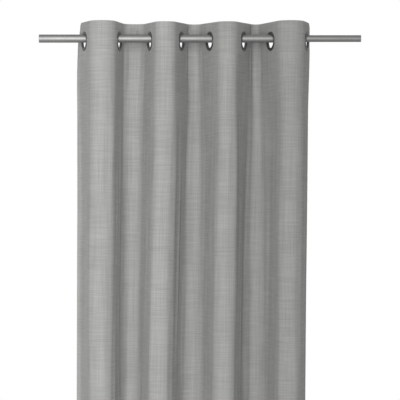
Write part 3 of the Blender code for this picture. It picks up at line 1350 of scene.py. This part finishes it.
    def stiffen(self, fold: int, material: bpy.types.Material) -> bpy.types.Object:
        """The stiffener inside one fold of the heading.

        Args:
            fold: Number of the fold from the left.
            material: The material to dress it with.

        Returns:
            The stiffener of the fold.
        """
        runs = self.runs(fold)
        if fold == 0:
            runs = runs[runs > self.stiffener_inset]
        if fold == EYELET_COUNT - 2:
            runs = runs[runs < self.wave.width - self.stiffener_inset]
        low = self.cut.hem_line + self.cut.stiffener_above_hem
        high = self.cut.top - self.cut.stiffener_below_top
        heights = np.linspace(low, high, self.stiffener_rows)
        name = f"heading_stiffener_fold_{fold + 1}"
        piece, column, row = self.flat_grid(name, len(runs), len(heights))
        run, height = runs[column], heights[row]
        run, height = self.punch(run, height, np.full(len(run), True))
        self.chart(piece, run, height)
        doomed = self.hole_faces(piece, run, height)
        set_coordinates(piece, self.wave.place(run, height, np.zeros(len(run))))
        delete_faces(piece, doomed)
        apply_modifier(piece, "SOLIDIFY", thickness=self.cut.felt, offset=0.0)
        smooth(piece)
        dress(piece, material)
        return piece

    def side_rows(self) -> np.ndarray:
        """Heights of a side hem's rows, close together by the foot and the heading.

        Returns:
            Heights above the rod's axis, from the foot up.
        """
        cut, inset, band = self.cut, 0.0006, 0.012
        marks = (cut.foot + inset, cut.foot_line - band, cut.foot_line + band, cut.top - cut.free_fall,
                 cut.hem_line - band, cut.hem_line + band, cut.top - inset)
        counts = (8, 8, 119, 59, 12, 35)
        parts = [
            np.linspace(start, end, count + 1)[:-1]
            for start, end, count in zip(marks, marks[1:], counts)
        ]
        return np.concatenate([*parts, marks[-1:]])

    def side_hem(self, edge: Edge, material: bpy.types.Material) -> bpy.types.Object:
        """The side of the cloth, turned round the edge and over to the back.

        Args:
            edge: Which upright edge of the curtain.
            material: The material to dress it with.

        Returns:
            The side hem.
        """
        cut, rows = self.cut, self.side_rows()
        turn_columns, band_columns = 6, 7
        count = turn_columns + band_columns
        piece, column, row = self.flat_grid(f"side_hem_{edge.value}", count, len(rows))
        height = rows[row]
        # the leaf steps back where it passes over the heading's and the foot's own leaves
        in_heading = smoothstep(height, cut.hem_line - 0.006, cut.hem_line + 0.002)
        in_foot = 1 - smoothstep(height, cut.foot_line - 0.002, cut.foot_line + 0.006)
        over_heading = cut.surface + 0.0004 + cut.side_leaf_offset
        over_foot = cut.surface + 0.0002 + cut.side_leaf_offset
        back = cut.side_leaf_offset - over_heading * in_heading - over_foot * in_foot
        radius, middle = (cut.face_offset - back) / 2, (cut.face_offset + back) / 2
        turn = np.clip(column / turn_columns, 0, 1) * math.pi
        band = np.clip((column - turn_columns) / (band_columns - 1), 0, 1) * cut.side_turn
        out = -radius * np.sin(turn)
        offset = middle + radius * np.cos(turn)
        inward = np.where(column <= turn_columns, out, band)
        inner = np.where(column <= turn_columns, 0.0, band)
        sign = 1 if edge is Edge.LEFT else -1
        start = 0.0 if edge is Edge.LEFT else self.wave.width
        points = self.wave.place(start + sign * inner, height, offset)
        beside = self.wave.place(np.full(len(height), start + sign * 0.002), height, offset)
        at_edge = self.wave.place(np.full(len(height), start), height, offset)
        outward = at_edge - beside
        outward /= np.linalg.norm(outward, axis=1, keepdims=True)
        points += outward * np.where(inward < 0, -inward, 0.0)[:, None]
        self.chart(piece, start + sign * (inner + 0.003), height - cut.foot + cut.foot_turn)
        set_coordinates(piece, points)
        apply_modifier(piece, "SOLIDIFY", thickness=cut.cloth, offset=0.0)
        edit(piece, face_outwards)
        smooth(piece, 60)
        dress(piece, material)
        return piece


# ------------------------------------------------------------------ sewing


@dataclass
class Sewing:
    """Rows of lock stitches along the hems, on the face and on the back."""

    cut: CurtainCut
    wave: Wave
    stitch: float = 0.0029
    pitch: float = 0.0038
    thread: float = 0.00048
    slant: float = 0.10
    bow: float = 0.32

    def __post_init__(self) -> None:
        """Model one stitch, lying along X, that every row copies."""
        select_none()
        bpy.ops.mesh.primitive_uv_sphere_add(segments=6, ring_count=4, radius=0.5)
        pattern = bpy.context.object
        edit(
            pattern,
            lambda: bpy.ops.transform.rotate(value=math.pi / 2, orient_axis="Y",
                                             center_override=(0, 0, 0)),
            lambda: bpy.ops.transform.resize(value=(self.stitch, self.thread * 0.8, self.thread)),
        )
        self.shape = coordinates(pattern)
        self.faces = [tuple(face.vertices) for face in pattern.data.polygons]
        bpy.data.objects.remove(pattern, do_unlink=True)

    def sew(self, name: str, run: np.ndarray, height: np.ndarray, upright: bool,
            offsets: dict[Leaf, float], material: bpy.types.Material) -> bpy.types.Object:
        """Lay one row of stitches on each given side of the cloth.

        Args:
            name: Name of the piece.
            run: Distance along the cloth of each stitch.
            height: Height of each stitch.
            upright: Whether the row runs up the cloth rather than across it.
            offsets: How far in front of the middle surface each side's thread lies.
            material: The thread's material.

        Returns:
            The row of stitches.
        """
        reach = self.stitch / 2
        along, across, out = self.shape[:, 0], self.shape[:, 2], self.shape[:, 1]
        bowed = out + self.thread * self.bow * (1 - (along / reach) ** 2)
        blocks = []
        for leaf, offset in offsets.items():
            for number, (one_run, one_height) in enumerate(zip(run, height)):
                # a changing slant, so that no two stitches lie alike
                slant = across + along * (self.slant * math.sin(number * 12.9898))
                run_here = one_run + (slant if upright else along)
                height_here = one_height + (along if upright else slant)
                blocks.append(self.wave.place(run_here, height_here, offset + leaf.value * bowed))
        points = np.concatenate(blocks)
        size = len(self.shape)
        faces = [
            tuple(corner + block * size for corner in face)
            for block in range(len(blocks)) for face in self.faces
        ]
        mesh = bpy.data.meshes.new(name)
        mesh.from_pydata(points.tolist(), [], faces)
        piece = bpy.data.objects.new(name, mesh)
        bpy.context.collection.objects.link(piece)
        edit(piece, face_outwards)
        smooth(piece, 80)
        dress(piece, material)
        return piece

    def row_runs(self, start: float, end: float) -> np.ndarray:
        """Evenly spaced stitches between two ends, none of them on an end."""
        count = int((end - start) / self.pitch)
        return start + (np.arange(count) + 0.5) * (end - start) / count

    def heading_row(self, fold: int, start: float, end: float,
                    material: bpy.types.Material) -> bpy.types.Object:
        """The row that holds down the heading's turned edge.

        Args:
            fold: Number of the fold from the left.
            start: Where the row starts along the cloth.
            end: Where it ends.
            material: The material to dress it with.

        Returns:
            The row of stitches.
        """
        run = self.row_runs(start, end)
        height = np.full(len(run), self.cut.hem_line + 0.004)
        offsets = {Leaf.FACE: self.cut.surface, Leaf.BACK: -self.cut.surface}
        return self.sew(f"heading_stitching_{fold + 1}", run, height, False, offsets, material)

    def foot_row(self, fold: int, start: float, end: float,
                 material: bpy.types.Material) -> bpy.types.Object:
        """The row that holds the foot hem's turned edge.

        Args:
            fold: Number of the fold from the left.
            start: Where the row starts along the cloth.
            end: Where it ends.
            material: The material to dress it with.

        Returns:
            The row of stitches.
        """
        run = self.row_runs(start, end)
        height = np.full(len(run), self.cut.foot_line - 0.004)
        back = self.cut.foot_leaf_offset - self.cut.cloth / 2
        offsets = {Leaf.FACE: self.cut.surface, Leaf.BACK: back}
        return self.sew(f"foot_stitching_{fold + 1}", run, height, False, offsets, material)

    def side_row(self, edge: Edge, material: bpy.types.Material) -> bpy.types.Object:
        """The row that holds down a side hem, between the foot and the heading.

        Args:
            edge: Which upright edge of the curtain.
            material: The material to dress it with.

        Returns:
            The row of stitches.
        """
        height = self.row_runs(self.cut.foot_line + 0.010, self.cut.hem_line - 0.010)
        inset = self.cut.side_turn - 0.003
        run = np.full(len(height), inset if edge is Edge.LEFT else self.wave.width - inset)
        back = self.cut.side_leaf_offset - self.cut.cloth / 2
        offsets = {Leaf.FACE: self.cut.surface, Leaf.BACK: back}
        return self.sew(f"side_stitching_{edge.value}", run, height, True, offsets, material)


# ------------------------------------------------------------------ eyelets and rod


@dataclass
class TurnedProfile:
    """A closed outline of (radius, height, rub) points that is spun about an axis."""

    points: list[tuple[float, float, float]]

    def spin(self, name: str, steps: int) -> bpy.types.Object:
        """Spin the outline about Z and mark how much each point is rubbed.

        Args:
            name: Name of the piece.
            steps: How many faces lie round it.

        Returns:
            The turned piece, about Z.
        """
        select_none()
        bpy.ops.mesh.primitive_circle_add(vertices=len(self.points), radius=1.0, fill_type="NOTHING")
        piece = bpy.context.object
        piece.name = name
        rub = piece.data.attributes.new(RUB_MARK, "FLOAT", "POINT")
        for vertex, (radius, height, worn) in zip(piece.data.vertices, self.points):
            vertex.co = (radius, 0.0, height)
            rub.data[vertex.index].value = worn
        edit(
            piece,
            lambda: bpy.ops.mesh.spin(steps=steps, angle=2 * math.pi, center=(0, 0, 0), axis=(0, 0, 1)),
            lambda: bpy.ops.mesh.select_all(action="SELECT"),
            merge_close,
            face_outwards,
        )
        smooth(piece, 38)
        return piece


@dataclass
class Eyelet:
    """A two-part press-on eyelet: a crowned ring with its barrel, and a back ring."""

    bore: float = 0.020
    barrel_wall: float = 0.0010
    outer: float = 0.028
    crown: float = 0.0018
    back_crown: float = 0.0009
    seat: float = 0.00155
    lip: float = 0.0016
    roll: float = 0.0003
    skirt: float = 0.0005
    steps: int = 96

    def front_outline(self) -> TurnedProfile:
        """Crowned face ring, barrel and rolled lip.

        Returns:
            The front ring's closed outline.
        """
        points = []
        middle, half = (self.bore + self.outer) / 2, (self.outer - self.bore) / 2
        base = self.seat + self.skirt
        for step in range(1, 15):
            angle = math.pi * (1 - step / 14)
            radius = middle + half * math.cos(angle)
            height = base + (self.crown - self.skirt) * math.sin(angle) ** 0.8
            points.append((radius, height, max(0.0, math.sin(angle)) ** 6))
        barrel, roll = self.bore + self.barrel_wall, self.roll
        back = -(self.seat + self.back_crown + roll)
        points += [(self.outer, self.seat + 0.0001, 0.0), (self.outer - 0.0004, self.seat, 0.0),
                   (barrel, self.seat, 0.0), (barrel, back, 0.0), (barrel + self.lip - roll, back, 0.0)]
        for step in range(7):
            angle = math.pi * step / 6
            rise, swell = roll * math.cos(angle), roll * math.sin(angle)
            points.append((barrel + self.lip - roll + swell, back - roll + rise, 0.7))
        # the barrel's inside flares to both mouths
        points += [(barrel, back - 2 * roll, 0.5), (self.bore + 0.0006, back - roll, 0.3),
                   (self.bore + 0.0002, back + 0.0005, 0.2), (self.bore, back + 0.0018, 0.1),
                   (self.bore, self.seat - 0.0008, 0.1), (self.bore + 0.0001, self.seat + 0.0002, 0.1)]
        return TurnedProfile(points)

    def back_outline(self) -> TurnedProfile:
        """Back ring with a bevelled rim.

        Returns:
            The back ring's closed outline.
        """
        inner, bevel = self.bore + self.barrel_wall + self.roll, 0.0012
        top = -(self.seat + self.back_crown)
        points = [(inner, -self.seat, 0.0), (inner, top, 0.0)]
        for step in range(9):
            angle = math.pi / 2 * step / 8
            radius = self.outer - bevel + bevel * math.sin(angle)
            height = top + self.back_crown * (1 - math.cos(angle))
            points.append((radius, height, math.sin(angle * 2) ** 2))
        points += [(self.outer, -self.seat - 0.0001, 0.0), (self.outer - 0.0002, -self.seat, 0.0)]
        return TurnedProfile(points)

    def set_at(self, pattern: bpy.types.Object, name: str, spot: Vector,
               heading: float) -> bpy.types.Object:
        """Copy a turned ring to an eyelet's place, square to the cloth.

        Args:
            pattern: The ring to copy.
            name: Name of the copy.
            spot: The eyelet's centre.
            heading: Angle of the cloth to the rod.

        Returns:
            The ring in its place.
        """
        piece = pattern.copy()
        piece.data = pattern.data.copy()
        piece.name = name
        bpy.context.collection.objects.link(piece)
        turn = Matrix.Rotation(heading, 4, "Z") @ Matrix.Rotation(math.pi / 2, 4, "X")
        piece.data.transform(Matrix.Translation(spot) @ turn)
        piece.data.update()
        return piece


@dataclass
class RodTube:
    """One tube of the rod, square cut with broken edges."""

    node: str
    name: str
    wall: float
    edge_break: float = 0.0003
    sides: int = 128
    track_rub: float = 0.55

    def build(self, material: bpy.types.Material) -> bpy.types.Object:
        """Turn the tube from the place and size of its CAD node.

        Args:
            material: The material to dress it with.

        Returns:
            The tube.
        """
        low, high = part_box(self.node)
        outer = (high.z - low.z) / 2
        inner = outer - self.wall
        length = high.x - low.x
        cut, rubbed_rim, rubbed_corner = self.edge_break, 0.4, 0.6
        outline = [
            (inner, cut, 0.0), (inner + cut, 0.0, rubbed_rim), (outer - cut, 0.0, rubbed_rim),
            (outer, cut, rubbed_corner), (outer, length - cut, rubbed_corner),
            (outer - cut, length, rubbed_rim), (inner + cut, length, rubbed_rim),
            (inner, length - cut, 0.0),
        ]
        piece = TurnedProfile(outline).spin(self.name, self.sides)
        turn = Matrix.Rotation(math.pi / 2, 4, "Y")
        middle = (low + high) / 2
        piece.data.transform(Matrix.Translation((low.x, middle.y, middle.z)) @ turn)
        self.mark_track(piece, outer)
        dress(piece, material)
        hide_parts(self.node)
        return piece

    def mark_track(self, piece: bpy.types.Object, outer: float) -> None:
        """Rub the top of the tube, where the eyelets slide.

        Args:
            piece: The mesh object.
            outer: Radius of the tube.
        """
        points = coordinates(piece)
        radius = np.hypot(points[:, 1], points[:, 2])
        worn = smoothstep(points[:, 2] / outer, 0.80, 1.0) * (radius > outer * 0.96)
        piece.data.attributes[RUB_MARK].data.foreach_set("value", worn * self.track_rub)


# ------------------------------------------------------------------ studio


@dataclass
class Studio:
    """Pale floor, soft light and the camera."""

    distance: float = 6.10
    frame_width: float = 1.168
    centre_x: float = 0.0
    centre_z: float = -0.4713
    sensor: float = 36.0
    floor_gap: float = 0.012
    floor_radius: float = 12.5
    floor_colour: tuple[float, ...] = (0.86, 0.86, 0.855, 1.0)
    glow: float = 0.41

    def floor(self, foot: float) -> None:
        """A wide pale disc under the curtain's foot.

        Args:
            foot: Height of the curtain's foot.
        """
        select_none()
        bpy.ops.mesh.primitive_circle_add(vertices=96, radius=self.floor_radius, fill_type="NGON",
                                          location=(0, 0, foot - self.floor_gap))
        disc = bpy.context.object
        disc.name = "studio_floor"
        material, graph, shader = Finish().start("floor_paper")
        graph.feed_all(shader, {"Base Color": self.floor_colour, "Roughness": 0.8})
        disc.data.materials.append(material)
        disc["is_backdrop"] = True

    def area_light(self, name: str, place: tuple[float, float, float], aim: tuple[float, float, float],
                   size: tuple[float, float], power: float, spread: float) -> None:
        """A soft light, wide and tall as given, that looks at a point.

        Args:
            name: Name of the light.
            place: Where its middle stands.
            aim: The point that it looks at.
            size: Its width and height.
            power: Its power in watts.
            spread: The angle in degrees that its grid lets through.
        """
        lamp = bpy.data.lights.new(name, "AREA")
        lamp.shape = "RECTANGLE"
        lamp.size, lamp.size_y = size
        lamp.energy = power
        lamp.spread = math.radians(spread)
        holder = bpy.data.objects.new(name, lamp)
        holder.location = place
        direction = Vector(aim) - Vector(place)
        holder.rotation_euler = direction.to_track_quat("-Z", "Y").to_euler()
        bpy.context.collection.objects.link(holder)

    def world(self) -> None:
        """A white surround to look at, that lights the curtain only dimly."""
        world = bpy.data.worlds.new("studio_white")
        bpy.context.scene.world = world
        world.use_nodes = True
        graph = Graph(world.node_tree)
        seen = world.node_tree.nodes["Background"]
        glow = graph.node("ShaderNodeBackground")
        for background, strength in ((seen, 1.0), (glow, self.glow)):
            graph.feed_all(background, {"Color": (1.0, 1.0, 1.0, 1.0), "Strength": strength})
        rays = graph.node("ShaderNodeLightPath")
        blend = graph.node("ShaderNodeMixShader")
        blended = (rays.outputs["Is Camera Ray"], glow.outputs[0], seen.outputs[0])
        for socket, value in zip(blend.inputs, blended):
            graph.feed(socket, value)
        graph.feed(world.node_tree.nodes["World Output"].inputs["Surface"], blend.outputs[0])

    def camera(self) -> None:
        """A long lens, level, square to the rod."""
        data = bpy.data.cameras.new("camera")
        data.sensor_width = self.sensor
        data.lens = self.sensor * self.distance / self.frame_width
        data.clip_end = 100.0
        holder = bpy.data.objects.new("camera", data)
        holder.location = (self.centre_x, -self.distance, self.centre_z)
        holder.rotation_euler = (math.pi / 2, 0, 0)
        bpy.context.collection.objects.link(holder)
        bpy.context.scene.camera = holder

    def build(self, foot: float) -> None:
        """Set up the whole studio.

        Args:
            foot: Height of the curtain's foot.
        """
        self.floor(foot)
        self.world()
        self.area_light("front_light", place=(-0.56, -3.6, -0.85), aim=(-0.75, 0.0, -0.85),
                        size=(0.56, 5.4), power=25.5, spread=60.0)
        self.area_light("back_light", place=(-0.2, 4.0, 0.9), aim=(0.0, 0.0, -0.9),
                        size=(2.0, 2.0), power=45.0, spread=180.0)
        self.camera()
        bpy.context.scene.view_settings.view_transform = "Standard"


# ------------------------------------------------------------------ the whole curtain


@dataclass
class Curtain:
    """The curtain with its rod, piece by piece."""

    cut: CurtainCut
    wave: Wave
    headings: list[float]

    def span(self, piece: bpy.types.Object) -> None:
        """Bake a piece's placement into its mesh."""
        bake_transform(piece)

    def build_eyelets(self, finish: bpy.types.Material) -> None:
        """Set all eyelets, front and back.

        Args:
            finish: The eyelets' material.
        """
        eyelet = Eyelet()
        front = eyelet.front_outline().spin("front_ring_pattern", eyelet.steps)
        back = eyelet.back_outline().spin("back_ring_pattern", eyelet.steps)
        for number, (spot, heading) in enumerate(zip(self.wave.eyelets, self.headings), start=1):
            for pattern, part in ((front, "front"), (back, "back")):
                ring = eyelet.set_at(pattern, f"{part}_ring_{number}", spot, heading)
                dress(ring, finish)
                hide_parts(f"eyelet_{number}_{part}_ring")
                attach(ring, f"eyelet_{number}")
                LOG.info("set %s", ring.name)
        for pattern in (front, back):
            bpy.data.objects.remove(pattern, do_unlink=True)

    def build_rod(self, finish: bpy.types.Material) -> None:
        """Both tubes of the rod.

        Args:
            finish: The rod's material.
        """
        outer = RodTube("rod_outer_tube", "rod_tube_outer", 0.0017).build(finish)
        inner = RodTube("rod_inner_tube", "rod_tube_inner", 0.0012).build(finish)
        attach(outer, "rod")
        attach(inner, "rod_extension")
        LOG.info("built the rod")

    def build_cloth(self, linen: bpy.types.Material, felt: bpy.types.Material,
                    thread: bpy.types.Material) -> None:
        """Cloth, stiffener, hems and stitches, fold by fold.

        Args:
            linen: The cloth's material.
            felt: The stiffener's material.
            thread: The thread's material.
        """
        cloth = CurtainCloth(self.cut, self.wave)
        sewing = Sewing(self.cut, self.wave)
        last = EYELET_COUNT - 2
        for fold in range(EYELET_COUNT - 1):
            piece = cloth.hang(fold, linen)
            band = cloth.stiffen(fold, felt)
            runs = cloth.runs(fold)
            start, end = runs[0], runs[-1]
            rows = [
                sewing.heading_row(fold, start + 0.001, end - 0.001, thread),
                sewing.foot_row(fold, start + 0.001, end - 0.001, thread),
            ]
            for edge, at_fold in ((Edge.LEFT, 0), (Edge.RIGHT, last)):
                if fold != at_fold:
                    continue
                hem = cloth.side_hem(edge, linen)
                body = f"eyelet_{1 if edge is Edge.LEFT else EYELET_COUNT}"
                side = sewing.side_row(edge, thread)
                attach(hem, body)
                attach(side, body)
            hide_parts(f"curtain_cloth_{fold + 1}")
            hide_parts(f"heading_stiffener_{fold + 1}")
            if fold == last:
                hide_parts(f"curtain_cloth_{EYELET_COUNT}")
                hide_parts(f"heading_stiffener_{EYELET_COUNT}")
            for part in (piece, band, *rows):
                self.span(part)
            LOG.info("hung %s", piece.name)


def main() -> None:
    """Build the curtain, its rod and the studio."""
    logging.basicConfig(level=logging.INFO)
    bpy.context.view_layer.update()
    linen_weave_group()
    metal_grain_group()
    linen = LinenFinish().material("linen_cloth")
    felt = FeltFinish().material("stiffener_felt")
    thread = ThreadFinish().material("sewing_thread")
    gunmetal = MetalFinish(
        metal=(0.20, 0.20, 0.205, 1.0), rubbed=(0.38, 0.38, 0.385, 1.0), roughness=0.36,
        grain_stretch=(1.0, 1.0, 1.0), grain_scale=700.0, smudge=0.25,
    ).material("gunmetal_plating")
    steel = MetalFinish(
        metal=(0.40, 0.40, 0.395, 1.0), rubbed=(0.47, 0.47, 0.465, 1.0), roughness=0.56,
        grain_stretch=(0.02, 1.0, 1.0), grain_scale=1400.0, smudge=0.10,
    ).material("satin_steel")
    spots, headings = [], []
    for number in range(1, EYELET_COUNT + 1):
        low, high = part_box(f"eyelet_{number}_front_ring")
        spots.append((low + high) / 2)
    cloth_low, cloth_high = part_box("curtain_cloth_1")
    cut = CurtainCut(top=cloth_high.z, foot=cloth_low.z)
    for fold, angle in enumerate(cut.crossing_angles):
        headings.append(FoldSide.of(fold).value * math.radians(angle))
    wave = Wave(cut, spots)
    LOG.info("flat width %.3f m, cut length %.3f m", wave.width, cut.cut_length)
    curtain = Curtain(cut, wave, headings)
    curtain.build_rod(steel)
    curtain.build_eyelets(gunmetal)
    curtain.build_cloth(linen, felt, thread)
    Studio().build(cut.foot)
    low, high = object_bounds()


if __name__ == "__main__":
    main()
